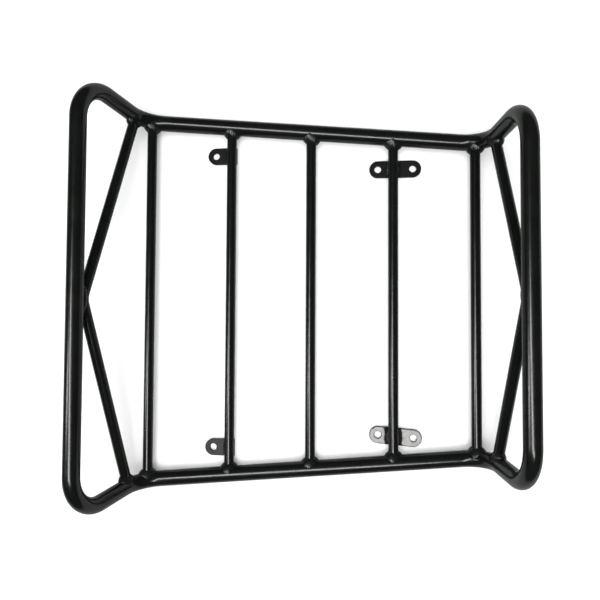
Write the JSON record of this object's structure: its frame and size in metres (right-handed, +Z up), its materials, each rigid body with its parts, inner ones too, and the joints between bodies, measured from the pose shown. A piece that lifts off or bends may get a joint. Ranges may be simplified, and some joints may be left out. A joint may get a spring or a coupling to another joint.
{
  "type": "luggage rack",
  "caption": "Welded tubular steel luggage rack: a flat deck of cross bars inside a bent tube hoop with upturned, V-braced ends and flat bolt-down tabs",
  "frame": {"origin": "centre of the rack's outline on the plane of the tabs' undersides", "axes": "+Z up off the deck, +X along the rack towards its narrower end, +Y across it along the cross bars"},
  "size_m": [0.4181, 0.4124, 0.1169],
  "materials": {
    "hoop_paint": "semi-gloss black paint on bent tube",
    "bar_paint": "semi-gloss black paint on round bar",
    "brace_paint": "semi-gloss black paint on bent round rod",
    "tab_paint": "satin black paint on flat plate",
    "bare_steel": "bare steel plate with a ragged edge of black paint",
    "weld_paint": "gloss black paint over rippled weld beads"
  },
  "bodies": {
    "root": {"hoop_tube_front": "hoop_paint", "hoop_tube_back": "hoop_paint", "cross_bar_1": "bar_paint", "cross_bar_2": "bar_paint", "cross_bar_3": "bar_paint", "cross_bar_4": "bar_paint", "cross_bar_5": "bar_paint", "brace_left": "brace_paint", "brace_right": "brace_paint", "tab_single_front": "tab_paint", "tab_single_back": "tab_paint", "tab_double_front": "bare_steel", "tab_double_back": "tab_paint", "weld_bar_1_front": "weld_paint", "weld_bar_1_back": "weld_paint", "weld_bar_2_front": "weld_paint", "weld_bar_2_back": "weld_paint", "weld_bar_3_front": "weld_paint", "weld_bar_3_back": "weld_paint", "weld_bar_4_front": "weld_paint", "weld_bar_4_back": "weld_paint", "weld_bar_5_front": "weld_paint", "weld_bar_5_back": "weld_paint", "weld_brace_left_front": "weld_paint", "weld_brace_left_back": "weld_paint", "weld_brace_right_front": "weld_paint", "weld_brace_right_back": "weld_paint", "weld_butt_left": "weld_paint", "weld_butt_right": "weld_paint", "weld_point_left_upper": "weld_paint", "weld_point_left_lower": "weld_paint", "weld_point_right_upper": "weld_paint", "weld_point_right_lower": "weld_paint", "weld_tab_single_front": "weld_paint", "weld_tab_single_back": "weld_paint", "weld_tab_double_front_left": "weld_paint", "weld_tab_double_front_right": "weld_paint", "weld_tab_double_back_left": "weld_paint", "weld_tab_double_back_right": "weld_paint"}
  },
  "joints": []
}
